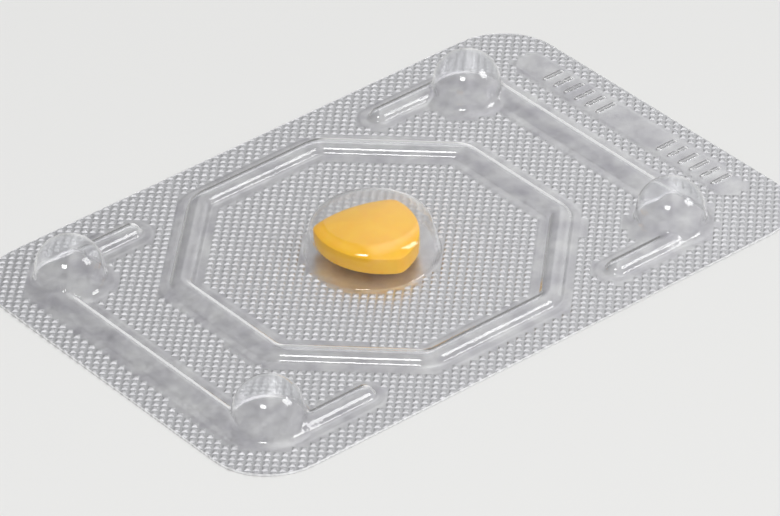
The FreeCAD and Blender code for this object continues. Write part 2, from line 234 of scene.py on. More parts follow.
def sectionRise(distance, form):
    # height of the section over the web, 0 beyond its foot
    top, shoulder, ankle, footCentre = sectionPoints(form)
    slope = math.radians(form["slope"])
    out = np.clip(distance - top[0], 0, form["edge"])
    crest = top[1] + np.sqrt(np.maximum(form["edge"] ** 2 - out ** 2, 0))
    wall = shoulder[1] - (distance - shoulder[0]) / math.tan(slope)
    back = np.clip(footCentre[0] - distance, 0, form["foot"])
    foot = footCentre[1] - np.sqrt(np.maximum(form["foot"] ** 2 - back ** 2, 0))
    height = np.where(distance < shoulder[0], crest, np.where(distance < ankle[0], wall, foot))
    height = np.where(distance > footCentre[0], 0, height)
    return np.maximum(height - film["thickness"], 0)


def octagonDistance(x, y):
    # distance to the octagon's crest line with its round corners
    apothem = film["octagonReach"] - film["octagonCorner"]
    half = apothem * math.tan(math.pi / 8)
    nearest = np.full(x.shape, 1e9)
    deepest = np.full(x.shape, -1e9)
    for k in range(8):
        angle = math.pi / 4 * k
        out = x * math.cos(angle) + y * math.sin(angle) - apothem
        along = -x * math.sin(angle) + y * math.cos(angle)
        past = np.maximum(np.abs(along) - half, 0)
        nearest = np.minimum(nearest, np.hypot(out, past))
        deepest = np.maximum(deepest, out)
    signed = np.where(deepest > 0, nearest, deepest)
    return np.abs(signed - film["octagonCorner"])


def stapleDistance(x, y):
    x, y = np.abs(x), np.abs(y)
    cornerX = film["stapleX"] - film["stapleCorner"]
    cornerY = film["stapleY"] - film["stapleCorner"]
    tab = np.hypot(x - np.clip(x, film["tabEnd"], cornerX), y - film["stapleY"])
    bar = np.hypot(x - film["stapleX"], np.maximum(y - cornerY, 0))
    inCorner = (x > cornerX) & (y > cornerY)
    bend = np.abs(np.hypot(x - cornerX, y - cornerY) - film["stapleCorner"])
    return np.minimum(np.minimum(tab, bar), np.where(inCorner, bend, 1e9))


def domeDistance(x, y):
    cornerX = film["stapleX"] - film["stapleCorner"]
    cornerY = film["stapleY"] - film["stapleCorner"]
    return np.hypot(np.abs(x) - cornerX, np.abs(y) - cornerY)


def unevenness(x, y):
    total = sum(np.sin(a * x + b * y + c) for a, b, c in film["waves"])
    return total / len(film["waves"])


def unsealedRise(*beyond):
    # a low step where the sealing plate didn't press, from how far beyond each such zone a point is
    inside = -np.minimum.reduce(beyond) / film["unsealedEdge"]
    share = np.clip(inside + 0.5, 0, 1)
    return film["unsealedLift"] * share * share * (3 - 2 * share)


def stampMarks():
    # short plain bars in two fields of the strip: middle y, and half reach either side of a middle x
    bars = []
    for first, order in zip(film["markStarts"], film["markOrders"]):
        for k, kind in enumerate(order):
            y = first + film["markPitch"] * k
            if kind == "w":
                bars.append((0.0, y, film["wideHalf"]))
            else:
                bars += [(side * film["narrowShift"], y, film["narrowHalf"]) for side in (-1, 1)]
    return bars


def markDistance(x, y):
    stampX = pack["stampLineX"] - pack["layoutX"]
    nearest = np.full(x.shape, 1e9)
    for shift, middle, half in stampMarks():
        past = np.maximum(np.abs(x - stampX - shift) - half, 0)
        nearest = np.minimum(nearest, np.hypot(past, y - middle))
    return nearest


def filmRise(x, y):
    # x and y are from the layout's middle
    power = film["blend"]
    ribDistance = np.minimum(octagonDistance(x, y), stapleDistance(x, y))
    ribs = sectionRise(ribDistance, film["rib"])
    domes = sectionRise(domeDistance(x, y), film["dome"])
    cavity = sectionRise(np.hypot(x, y), film["cavity"])
    low, high = foil["stampEnds"]
    stampX = pack["stampLineX"] - pack["layoutX"]
    stamped = np.hypot(x - stampX, y - np.clip(y, low, high))
    band = unsealedRise(
        ribDistance - film["ribBand"],
        domeDistance(x, y) - film["domeBand"],
        np.hypot(x, y) - film["cavityBand"],
        stamped - film["stampBand"])
    total = (ribs ** power + domes ** power + cavity ** power) ** (1 / power)
    pressed = np.clip(1 - (markDistance(x, y) - film["markHalf"]) / film["markEdge"], 0, 1)
    marks = film["markRise"] * pressed * pressed * (3 - 2 * pressed)
    return total * (1 + film["unevenness"] * unevenness(x, y)) + band + marks


def ringDistances(form, band):
    # finer where the section bends
    top, shoulder, ankle, footCentre = sectionPoints(form)
    marks = list(np.linspace(0, top[0], max(1, round(top[0] / 1.2)), endpoint=False))
    sweep = math.radians(90 - form["slope"])
    count = max(4, round(sweep * (form["edge"] + 1.2) / 0.34))
    marks += [top[0] + form["edge"] * math.sin(sweep * k / count) for k in range(count + 1)]
    wall = np.hypot(*(ankle - shoulder))
    count = max(1, round(wall / 0.5))
    marks += [shoulder[0] + (ankle[0] - shoulder[0]) * k / count for k in range(1, count + 1)]
    footSteps = 5
    for k in range(1, footSteps + 1):
        marks.append(footCentre[0] - form["foot"] * math.sin(sweep * (footSteps - k) / footSteps))
    marks.append(footCentre[0] + 0.12)
    half = film["unsealedEdge"] / 2
    marks += [band + half * share for share in bandShares]
    return sorted(set(round(m, 4) for m in marks))


def octagonPath():
    # points and outward directions along the octagon's crest line
    apothem = film["octagonReach"] - film["octagonCorner"]
    half = apothem * math.tan(math.pi / 8)
    points, outs = [], []
    for k in range(8):
        angle = math.pi / 4 * k
        out = np.array([math.cos(angle), math.sin(angle)])
        along = np.array([-out[1], out[0]])
        count = round(2 * half / film["alongStep"])
        for s in range(count + 1):
            points.append(out * film["octagonReach"] + along * half * (2 * s / count - 1))
            outs.append(out)
        corner = out * apothem + along * half
        for s in range(1, 6):
            turn = angle + math.pi / 4 * s / 6
            ray = np.array([math.cos(turn), math.sin(turn)])
            points.append(corner + ray * film["octagonCorner"])
            outs.append(ray)
    return np.array(points), np.array(outs)


def stapleQuarterPath():
    cornerX = film["stapleX"] - film["stapleCorner"]
    cornerY = film["stapleY"] - film["stapleCorner"]
    points, outs = [], []
    count = round((cornerX - film["tabEnd"]) / film["alongStep"])
    for s in range(count + 1):
        x = film["tabEnd"] + (cornerX - film["tabEnd"]) * s / count
        points.append((x, film["stapleY"]))
        outs.append((0, 1))
    count = round(cornerY / film["alongStep"])
    for s in range(count + 1):
        points.append((film["stapleX"], cornerY * s / count))
        outs.append((1, 0))
    return np.array(points), np.array(outs)


def besidePath(points, outs, distances):
    sides = sorted(set([-d for d in distances] + list(distances)))
    return np.concatenate([points + outs * d for d in sides])


def rings(centre, distances, spacing, start=0.0, sweep=2 * math.pi):
    made = []
    for d in distances:
        count = max(1, round(sweep * d / spacing)) if d > 0 else 1
        count = max(count, round(sweep / 0.1)) if d > 0 else 1
        for k in range(count):
            angle = start + sweep * (k + 0.5) / count
            made.append((centre[0] + d * math.cos(angle), centre[1] + d * math.sin(angle)))
    return np.array(made)


def inFourQuarters(points):
    signs = [(1, 1), (-1, 1), (-1, -1), (1, -1)]
    return np.concatenate([points * np.array(s) for s in signs])


def keepApart(groups, gaps):
    # earlier groups win; a later point that lies too near an earlier one goes
    kept = groups[0]
    for group, gap in zip(groups[1:], gaps[1:]):
        tree = KDTree(len(kept))
        for index, (x, y) in enumerate(kept):
            tree.insert((x, y, 0), index)
        tree.balance()
        far = [p for p in group if tree.find((p[0], p[1], 0))[2] > gap]
        if far:
            kept = np.concatenate([kept, np.array(far)])
    return kept


def stampBandPoints():
    # rings of a stadium round the stamp line
    low, high = foil["stampEnds"]
    stampX = pack["stampLineX"] - pack["layoutX"]
    half = film["unsealedEdge"] / 2
    marks = [film["stampBand"] + half * share for share in bandShares]
    ends = [rings((stampX, high), marks, 0.4, 0.0, math.pi)]
    ends.append(rings((stampX, low), marks, 0.4, math.pi, math.pi))
    steps = np.linspace(low, high, round((high - low) / 0.8))
    sides = [(stampX + side * m, y) for m in marks for y in steps for side in (-1, 1)]
    reach = film["markHalf"] + film["markEdge"]
    for shift, middle, half in stampMarks():
        for away in (0.0, film["markHalf"], film["markHalf"] + 0.5 * film["markEdge"], reach):
            for side in (-1, 1):
                across = np.linspace(-half, half, max(3, round(half / 0.12)))
                sides += [(stampX + shift + s, middle + side * away) for s in across]
                start = -math.pi / 2 if side > 0 else math.pi / 2
                if away > 0:
                    end = rings((stampX + shift + side * half, middle), [away], 0.14, start, math.pi)
                    sides += [tuple(p) for p in end]
    return np.concatenate(ends + [np.array(sides)])


def makeFilm():
    outline = outlinePoints(pack["edgeStep"])
    shift = np.array([pack["layoutX"], 0.0])
    domeX = film["stapleX"] - film["stapleCorner"]
    domeY = film["stapleY"] - film["stapleCorner"]
    domeRings = inFourQuarters(rings((domeX, domeY), ringDistances(film["dome"], film["domeBand"]), 0.3))
    cavityRings = rings((0, 0), ringDistances(film["cavity"], film["cavityBand"]), 0.4)
    ribDistances = ringDistances(film["rib"], film["ribBand"])
    octagon = besidePath(*octagonPath(), ribDistances)
    staples = besidePath(*stapleQuarterPath(), ribDistances)
    tabEnds = rings((film["tabEnd"], film["stapleY"]), ribDistances, 0.3)
    tabEnds = tabEnds[tabEnds[:, 0] < film["tabEnd"] + 1e-6]
    staples = inFourQuarters(np.concatenate([staples, tabEnds]))
    halfX, halfY = pack["length"] / 2 - film["webInset"], pack["width"] / 2 - film["webInset"]
    columns = np.linspace(-halfX, halfX, round(2 * halfX / film["webStep"]))
    rows = np.linspace(-halfY, halfY, round(2 * halfY / film["webStep"]))
    web = np.array([(x, y) for x in columns for y in rows])
    stamp = stampBandPoints()
    formed = [g + shift for g in (domeRings, cavityRings, staples, octagon, stamp)]
    plan = keepApart([outline] + formed + [web], film["apart"])
    inside = outlineDistance(plan) > -1e-6
    inside[: len(outline)] = True
    plan = plan[inside]
    border = [(k, (k + 1) % len(outline)) for k in range(len(outline))]
    made = delaunay_2d_cdt([Vector(p) for p in plan], border, [], 1, 1e-6)
    plan = np.array([tuple(v) for v in made[0]])
    faces = np.array([f for f in made[2]])
    rise, normals = filmSurface(plan)
    floor = film["underside"]
    thickness = film["thickness"] + pack["foilTop"] - floor
    drawn = np.clip(rise / film["drawnFull"], 0, 1)
    thickness = thickness * (1 - (1 - film["drawnThin"]) * drawn)
    top = np.column_stack([plan, pack["foilTop"] + film["thickness"] + rise])
    under = top - thickness[:, None] * normals
    count = len(plan)
    edges = borderLoop(faces)
    rim = [(a, count + a, count + b, b) for a, b in edges]
    allFaces = [tuple(f) for f in faces] + [tuple(count + f[::-1]) for f in faces] + rim
    points = np.concatenate([top, under]) * mm
    made = newMeshObject("clear_film", points, allFaces)
    keepRimSharp(made.data, len(faces), count, normals)
    marks = made.data.attributes.new("cutEdge", "FLOAT", "FACE")
    marks.data.foreach_set("value", [0.0] * (2 * len(faces)) + [1.0] * len(rim))
    return made


def outlineDistance(points):
    # how far inside the pack's outline each point lies
    radius = pack["cornerRadius"]
    dx = np.abs(points[:, 0]) - (pack["length"] / 2 - radius)
    dy = np.abs(points[:, 1]) - (pack["width"] / 2 - radius)
    outside = np.hypot(np.maximum(dx, 0), np.maximum(dy, 0))
    return radius - (outside + np.minimum(np.maximum(dx, dy), 0))


def filmSurface(plan):
    x, y = plan[:, 0] - pack["layoutX"], plan[:, 1]
    nudge = film["nudge"]
    rise = filmRise(x, y)
    slopeX = (filmRise(x + nudge, y) - filmRise(x - nudge, y)) / (2 * nudge)
    slopeY = (filmRise(x, y + nudge) - filmRise(x, y - nudge)) / (2 * nudge)
    normals = np.column_stack([-slopeX, -slopeY, np.ones(len(x))])
    return rise, normals / np.linalg.norm(normals, axis=1)[:, None]


def borderLoop(faces):
    # edges that only one face has, in that face's direction
    once = {}
    for face in faces:
        for k in range(len(face)):
            a, b = int(face[k]), int(face[(k + 1) % len(face)])
            if (b, a) in once:
                del once[(b, a)]
            else:
                once[(a, b)] = True
    return list(once)


def keepRimSharp(mesh, faceCount, pointCount, normals):
    # the sheet's own normals on both faces, the flat ones on the cut rim
    corner = np.empty(len(mesh.loops), int)
    mesh.loops.foreach_get("vertex_index", corner)
    sheet = np.concatenate([normals, -normals])
    wanted = sheet[corner]
    for polygon in mesh.polygons[2 * faceCount:]:
        for k in polygon.loop_indices:
            wanted[k] = polygon.normal
    mesh.normals_split_custom_set([tuple(n) for n in wanted])


clearFilm = makeFilm()
print("film formed:", len(clearFilm.data.polygons), "faces")


# Lidding foil: a knurled sheet, smooth under the forms and along the stamped strip


def guideObject(name, chains):
    # an edge-only mesh in millimetres for the knurl tree to measure from
    points, edges = [], []
    for chain, closed in chains:
        first = len(points)
        points += [(p[0] + pack["layoutX"], p[1], 0) for p in chain]
        edges += [(first + k, first + k + 1) for k in range(len(chain) - 1)]
        if closed:
            edges.append((first + len(chain) - 1, first))
    mesh = bpy.data.meshes.new(name)
    mesh.from_pydata([tuple(mm * c for c in p) for p in points], edges, [])
    guide = bpy.data.objects.new(name, mesh)
    scene.collection.objects.link(guide)
    return guide


def newGeometryTree(name, inputs):
    tree = bpy.data.node_groups.new(name, "GeometryNodeTree")
    tree.interface.new_socket("Geometry", in_out="INPUT", socket_type="NodeSocketGeometry")
    for label, kind in inputs:
        tree.interface.new_socket(label, in_out="INPUT", socket_type=kind)
    tree.interface.new_socket("Geometry", in_out="OUTPUT", socket_type="NodeSocketGeometry")
    return tree


def setModifierInputs(modifier, settings):
    # by the socket's identifier, before the object is first evaluated
    for item in modifier.node_group.interface.items_tree:
        if item.item_type == "SOCKET" and item.in_out == "INPUT" and item.name in settings:
            modifier[item.identifier] = settings[item.name]


def mathNode(tree, operation, first, second=None):
    node = addNode(tree, "ShaderNodeMath", operation=operation)
    for socket, source in zip(node.inputs, (first, second)):
        if isinstance(source, (int, float)):
            socket.default_value = source
        elif source is not None:
            link(tree, source, socket)
    return node.outputs[0]


def distanceTo(tree, guide, target):
    info = addNode(tree, "GeometryNodeObjectInfo", transform_space="ORIGINAL")
    near = addNode(tree, "GeometryNodeProximity", target_element=target)
    link(tree, guide, info.inputs["Object"])
    link(tree, info.outputs["Geometry"], near.inputs[0])
    return near.outputs["Distance"]


def knurlTree():
    tree = newGeometryTree("knurledSheet", [
        ("Pitch", "NodeSocketFloat"),
        ("Cells", "NodeSocketInt"),
        ("Turn", "NodeSocketVector"),
        ("Shift", "NodeSocketVector"),
        ("Base share", "NodeSocketFloat"),
        ("Top share", "NodeSocketFloat"),
        ("Knurl height", "NodeSocketFloat"),
        ("Rib lines", "NodeSocketObject"),
        ("Rib clear", "NodeSocketFloat"),
        ("Dome points", "NodeSocketObject"),
        ("Dome clear", "NodeSocketFloat"),
        ("Cavity point", "NodeSocketObject"),
        ("Cavity clear", "NodeSocketFloat"),
        ("Stamp line", "NodeSocketObject"),
        ("Stamp clear", "NodeSocketFloat"),
        ("Wave height", "NodeSocketFloat"),
        ("Wave scale", "NodeSocketFloat"),
        ("Finish", "NodeSocketMaterial"),
    ])
    asked = addNode(tree, "NodeGroupInput").outputs
    side = mathNode(tree, "MULTIPLY", asked["Pitch"], asked["Cells"])
    count = mathNode(tree, "ADD", asked["Cells"], 1)
    grid = addNode(tree, "GeometryNodeMeshGrid")
    for socket, source in zip(grid.inputs, (side, side, count, count)):
        link(tree, source, socket)
    turned = addNode(tree, "GeometryNodeTransform")
    link(tree, grid.outputs["Mesh"], turned.inputs["Geometry"])
    link(tree, asked["Turn"], turned.inputs["Rotation"])
    link(tree, asked["Shift"], turned.inputs["Translation"])

    # how far each spot lies beyond the smooth zones, the least of four
    beyond = None
    zones = [("Rib lines", "Rib clear", "EDGES"), ("Dome points", "Dome clear", "POINTS")]
    zones += [("Cavity point", "Cavity clear", "POINTS"), ("Stamp line", "Stamp clear", "EDGES")]
    for guide, clear, target in zones:
        away = mathNode(tree, "SUBTRACT", distanceTo(tree, asked[guide], target), asked[clear])
        beyond = away if beyond is None else mathNode(tree, "MINIMUM", beyond, away)

    # the smooth zones swell a little, the sealed ones stay flat
    noise = setInputs(addNode(tree, "ShaderNodeTexNoise"), Detail=1.0, Roughness=0.4)
    link(tree, asked["Wave scale"], noise.inputs["Scale"])
    inward = mathNode(tree, "DIVIDE", mathNode(tree, "MULTIPLY", beyond, -1.0), foil["waveFade"] * mm)
    fade = mathNode(tree, "MINIMUM", mathNode(tree, "MAXIMUM", inward, 0.0), 1.0)
    swell = mathNode(tree, "MULTIPLY", noise.outputs[0], asked["Wave height"])
    lift = addNode(tree, "ShaderNodeCombineXYZ")
    link(tree, mathNode(tree, "MULTIPLY", swell, fade), lift.inputs["Z"])
    waved = addNode(tree, "GeometryNodeSetPosition")
    link(tree, turned.outputs[0], waved.inputs["Geometry"])
    link(tree, lift.outputs[0], waved.inputs["Offset"])

    # each sealed cell: a land round a raised pyramid with a blunt top
    sealed = mathNode(tree, "GREATER_THAN", beyond, 0.0)
    land = addNode(tree, "GeometryNodeExtrudeMesh", mode="FACES")
    land.inputs["Offset Scale"].default_value = 0
    land.inputs["Individual"].default_value = True
    link(tree, waved.outputs[0], land.inputs["Mesh"])
    link(tree, sealed, land.inputs["Selection"])
    base = addNode(tree, "GeometryNodeScaleElements", domain="FACE")
    link(tree, land.outputs["Mesh"], base.inputs["Geometry"])
    link(tree, land.outputs["Top"], base.inputs["Selection"])
    link(tree, asked["Base share"], base.inputs["Scale"])
    raised = addNode(tree, "GeometryNodeExtrudeMesh", mode="FACES")
    raised.inputs["Individual"].default_value = True
    link(tree, base.outputs[0], raised.inputs["Mesh"])
    link(tree, land.outputs["Top"], raised.inputs["Selection"])
    link(tree, asked["Knurl height"], raised.inputs["Offset Scale"])
    blunt = addNode(tree, "GeometryNodeScaleElements", domain="FACE")
    link(tree, raised.outputs["Mesh"], blunt.inputs["Geometry"])
    link(tree, raised.outputs["Top"], blunt.inputs["Selection"])
    link(tree, asked["Top share"], blunt.inputs["Scale"])

    # only the smooth zones are shaded round
    shaded = addNode(tree, "GeometryNodeSetShadeSmooth")
    flanks = addNode(tree, "FunctionNodeBooleanMath", operation="OR")
    link(tree, raised.outputs["Side"], flanks.inputs[0])
    link(tree, raised.outputs["Top"], flanks.inputs[1])
    link(tree, blunt.outputs[0], shaded.inputs["Geometry"])
    link(tree, mathNode(tree, "LESS_THAN", beyond, 0.0), shaded.inputs["Shade Smooth"])
    # sealed cells are marked half, their flanks fully
    marked = addNode(tree, "GeometryNodeStoreNamedAttribute", data_type="FLOAT", domain="FACE")
    marked.inputs["Name"].default_value = "knurled"
    link(tree, shaded.outputs[0], marked.inputs["Geometry"])
    both = mathNode(tree, "ADD", flanks.outputs[0], mathNode(tree, "GREATER_THAN", beyond, 0.0))
    link(tree, mathNode(tree, "MULTIPLY", both, 0.5), marked.inputs["Value"])
    real = addNode(tree, "GeometryNodeRealizeInstances")
    link(tree, marked.outputs[0], real.inputs[0])
    finished = addNode(tree, "GeometryNodeSetMaterial")
    link(tree, real.outputs[0], finished.inputs["Geometry"])
    link(tree, asked["Finish"], finished.inputs["Material"])
    out = addNode(tree, "NodeGroupOutput")
    link(tree, finished.outputs[0], out.inputs[0])
    return tree


def latticeShift():
    # moves the grid so that its cells' middles fall on the photographed knurl
    along = np.array(foil["latticeAxes"])
    whole = np.round(foil["latticeAt"])
    off = along @ (whole - np.array(foil["latticeAt"])) * foil["pitch"]
    half = foil["pitch"] / 2 * (along @ np.array((1.0, 1.0)))
    return off if foil["cells"] % 2 else off + half


def bakeModifier(holder):
    # the evaluated result as a plain mesh object, with the modifier gone
    evaluated = holder.evaluated_get(bpy.context.evaluated_depsgraph_get())
    mesh = bpy.data.meshes.new_from_object(evaluated)
    plain = bpy.data.objects.new(holder.name + "_made", mesh)
    scene.collection.objects.link(plain)
    bpy.data.objects.remove(holder)
    return plain


def trimToOutline(mesh):
    outline = outlinePoints(pack["length"]) * mm  # a step this long leaves the sides whole
    bm = bmesh.new()
    bm.from_mesh(mesh)
    for k in range(len(outline)):
        a, b = outline[k], outline[(k + 1) % len(outline)]
        away = (b[1] - a[1], a[0] - b[0], 0)
        geometry = bm.verts[:] + bm.edges[:] + bm.faces[:]
        bmesh.ops.bisect_plane(
            bm, geom=geometry, dist=1e-9, plane_co=(a[0], a[1], 0), plane_no=away, clear_outer=True)
    bm.to_mesh(mesh)
    bm.free()


def thickenDown(mesh, depth, lift):
    points = np.empty(len(mesh.vertices) * 3)
    mesh.vertices.foreach_get("co", points)
    points = points.reshape(-1, 3) + (0, 0, lift)
    faces = [tuple(p.vertices) for p in mesh.polygons]
    flat = [not p.use_smooth for p in mesh.polygons]
    count = len(points)
    rim = [(b, a, count + a, count + b) for a, b in borderLoop(faces)]
    under = [tuple(count + k for k in reversed(f)) for f in faces]
    allPoints = np.concatenate([points, points - (0, 0, depth)])
    made = newMeshObject("lidding", allPoints, faces + under + rim, smooth=False)
    sharp = flat + flat + [True] * len(rim)
    made.data.polygons.foreach_set("use_smooth", [not s for s in sharp])
    knurled = [item.value for item in mesh.attributes["knurled"].data]
    marks = made.data.attributes.new("knurled", "FLOAT", "FACE")
    marks.data.foreach_set("value", knurled + knurled + [0.0] * len(rim))
    return made


def makeFoil(finish):
    cornerX = film["stapleX"] - film["stapleCorner"]
    cornerY = film["stapleY"] - film["stapleCorner"]
    octagon = octagonPath()[0]
    staple = [(film["tabEnd"], -film["stapleY"]), (cornerX, -film["stapleY"])]
    staple += [(film["stapleX"], -cornerY), (film["stapleX"], cornerY)]
    staple += [(cornerX, film["stapleY"]), (film["tabEnd"], film["stapleY"])]
    other = [(-x, y) for x, y in staple]
    ribLines = guideObject("ribLines", [(octagon, True), (staple, False), (other, False)])
    domes = inFourQuarters(np.array([(cornerX, cornerY)]))
    domePoints = guideObject("domePoints", [([d], False) for d in domes])
    cavityPoint = guideObject("cavityPoint", [([(0, 0)], False)])
    stampX = pack["stampLineX"] - pack["layoutX"]
    stampLine = guideObject("stampLine", [([(stampX, y) for y in foil["stampEnds"]], False)])
    holder = newMeshObject("knurl_sheet", [(0, 0, 0)], [])
    modifier = holder.modifiers.new("knurl", "NODES")
    modifier.node_group = knurlTree()
    shift = latticeShift() * mm
    setModifierInputs(modifier, {
        "Pitch": foil["pitch"] * mm,
        "Cells": foil["cells"],
        "Turn": (0, 0, math.radians(foil["turn"])),
        "Shift": (shift[0], shift[1], 0),
        "Base share": foil["baseShare"],
        "Top share": foil["topShare"],
        "Knurl height": foil["knurlHeight"] * mm,
        "Rib lines": ribLines,
        "Rib clear": foil["ribClear"] * mm,
        "Dome points": domePoints,
        "Dome clear": foil["domeClear"] * mm,
        "Cavity point": cavityPoint,
        "Cavity clear": foil["cavityClear"] * mm,
        "Stamp line": stampLine,
        "Stamp clear": foil["stampClear"] * mm,
        "Wave height": foil["waveHeight"] * mm,
        "Wave scale": 1 / (foil["waveSize"] * mm),
        "Finish": finish,
    })
    sheet = bakeModifier(holder)
    for guide in (ribLines, domePoints, cavityPoint, stampLine):
        bpy.data.objects.remove(guide)
    trimToOutline(sheet.data)
    made = thickenDown(sheet.data, foil["thickness"] * mm, pack["foilTop"] * mm)
    bpy.data.objects.remove(sheet)
    made.data.materials.append(finish)
    return made


# Tablet: a rounded three-sided outline with a crown on each face

pill = {
    "reach": 6.1,
    "shoulder": 3.9,
    "cornerRadius": 1.3,
    "topRadius": 12.2,
    "sideRadius": 8.05,
    "band": 1.9,
    "crown": 1.05,
    "turn": -9.3,
    "bottom": 0.03,
    "rim": 0.14,
    "rimSteps": 5,
    "crownEdge": 68,  # degrees the rim turns before the crown takes over
    "rested": 0.961,  # the crown's share of its full height, as it lies on its flat
    "crownScales": (0.95, 0.89, 0.82, 0.74, 0.66, 0.57, 0.48, 0.38, 0.28, 0.18, 0.09),
}


def shieldOutline():
    # three wide arcs joined by three tight ones: points and outward directions, anticlockwise
    tight = pill["cornerRadius"]
    ring = pill["reach"] - tight
    shoulder = pill["shoulder"]
    cornerY = math.sqrt(ring ** 2 - shoulder ** 2)
    topY = cornerY - math.sqrt((pill["topRadius"] - tight) ** 2 - shoulder ** 2)
    riseX, riseY = shoulder / 2, (cornerY + ring) / 2
    half = math.hypot(riseX, riseY)
    back = math.sqrt((pill["sideRadius"] - tight) ** 2 - half ** 2) / half
    sideX, sideY = riseX - back * riseY, riseY - ring + back * riseX
    topTurn = math.degrees(math.atan2(cornerY - topY, shoulder))
    upperTurn = math.degrees(math.atan2(cornerY - sideY, shoulder - sideX))
    lowerTurn = math.degrees(math.atan2(-ring - sideY, -sideX))
    arcs = [
        (sideX, sideY, pill["sideRadius"], lowerTurn, upperTurn, 26),
        (shoulder, cornerY, tight, upperTurn, topTurn, 12),
        (0, topY, pill["topRadius"], topTurn, 180 - topTurn, 24),
        (-shoulder, cornerY, tight, 180 - topTurn, 180 - upperTurn, 12),
        (-sideX, sideY, pill["sideRadius"], 180 - upperTurn, 180 - lowerTurn, 26),
        (0, -ring, tight, 180 - lowerTurn, 360 + lowerTurn, 12),
    ]
    points, outs = [], []
    for x, y, radius, first, last, steps in arcs:
        for k in range(steps):
            angle = math.radians(first + (last - first) * k / steps)
            out = (math.cos(angle), math.sin(angle))
            points.append((x + radius * out[0], y + radius * out[1]))
            outs.append(out)
    turn = math.radians(pill["turn"])
    spin = np.array(((math.cos(turn), math.sin(turn)), (-math.sin(turn), math.cos(turn))))
    return np.array(points) @ spin, np.array(outs) @ spin


def crownRise(scale):
    bulge = (pill["reach"] ** 2 + pill["crown"] ** 2) / (2 * pill["crown"])
    rise = math.sqrt(bulge ** 2 - (scale * pill["reach"]) ** 2) - bulge + pill["crown"]
    return rise * pill["rested"]


def makeTablet():
    plan, outs = shieldOutline()
    halfBand = pill["band"] / 2
    levels = [(1.0, 0.0, 0.0), (1.0, 0.0, halfBand - 2 * pill["rim"])]
    steepest = math.radians(pill["crownEdge"])
    for k in range(pill["rimSteps"] + 1):
        angle = steepest * k / pill["rimSteps"]
        inset = pill["rim"] * (1 - math.cos(angle))
        levels.append((1.0, inset, halfBand - pill["rim"] * (1 - math.sin(angle))))
    levels += [(s, 0.0, halfBand + crownRise(s)) for s in pill["crownScales"]]
    levels = [(s, i, -z) for s, i, z in reversed(levels[1:])] + levels
    middle = pill["bottom"] + crownRise(0) + halfBand
    points = []
    for scale, inset, z in levels:
        ring = plan * scale - outs * inset
        points += [(pack["layoutX"] + x, y, middle + z) for x, y in ring]
    count = len(plan)
    faces = []
    for r in range(len(levels) - 1):
        for k in range(count):
            a, b = r * count + k, r * count + (k + 1) % count
            faces.append((a, b, b + count, a + count))
    for z, first, upward in ((-1, 0, False), (1, (len(levels) - 1) * count, True)):
        points.append((pack["layoutX"], 0, middle + z * (halfBand + crownRise(0))))
        for k in range(count):
            a, b = first + k, first + (k + 1) % count
            faces.append((a, b, len(points) - 1) if upward else (b, a, len(points) - 1))
    return newMeshObject("coated_tablet", np.array(points) * mm, faces)


# Finishes

def lightPathGlass(tree, glass):
    # glass for what the camera sees, clear for all other rays, so that lamps reach the foil
    path = addNode(tree, "ShaderNodeLightPath")
    clear = addNode(tree, "ShaderNodeBsdfTransparent")
    seenThrough = addNode(tree, "ShaderNodeMixShader")
    seenFirst = addNode(tree, "ShaderNodeMixShader")
    link(tree, path.outputs["Is Transmission Ray"], seenThrough.inputs[0])
    link(tree, clear.outputs[0], seenThrough.inputs[1])
    link(tree, glass, seenThrough.inputs[2])
    link(tree, path.outputs["Is Camera Ray"], seenFirst.inputs[0])
    link(tree, seenThrough.outputs[0], seenFirst.inputs[1])
    link(tree, glass, seenFirst.inputs[2])
    return seenFirst.outputs[0]


def noiseTexture(tree, coordinates, scale, detail=2.0, roughness=0.5):
    node = addNode(tree, "ShaderNodeTexNoise")
    setInputs(node, Scale=scale, Detail=detail, Roughness=roughness)
    link(tree, coordinates, node.inputs["Vector"])
    return node.outputs[0]


def ranged(tree, source, low, high, fromLow=0.3, fromHigh=0.7):
    node = addNode(tree, "ShaderNodeMapRange")
    setInputs(node, From_Min=fromLow, From_Max=fromHigh, To_Min=low, To_Max=high)
    link(tree, source, node.inputs["Value"])
    return node.outputs[0]


def ramped(tree, source, stops):
    # levels at places from 0 to 1
    node = addNode(tree, "ShaderNodeValToRGB")
    elements = node.color_ramp.elements
    for place, level in stops[1:-1]:
        elements.new(place).color = (level, level, level, 1)
    for element, (place, level) in ((elements[0], stops[0]), (elements[-1], stops[-1])):
        element.color = (level, level, level, 1)
    link(tree, source, node.inputs[0])
    return node.outputs[0]


def bumped(tree, height, distance):
    node = setInputs(addNode(tree, "ShaderNodeBump"), Strength=1.0, Distance=distance)
    link(tree, height, node.inputs["Height"])
    return node.outputs[0]


clearFinish = {
    "colour": (0.98, 0.985, 0.99, 1),
    "ior": 1.49,
    "roughLow": 0.05,
    "roughHigh": 0.11,
    "hazeSize": 6.0,
    "rippleSize": 2.6,
    "rippleHeight": 0.012,
    "streakSize": 0.55,
    "streakHeight": 0.012,
    "streakStretch": 0.1,
    "streakFade": (0.1, 0.45),  # the normal's upward share where streaks begin to fade and where they end
    "edgeClear": 0.3,  # how clear the frosted cut edge still is
    "edgeRough": 0.5,
}


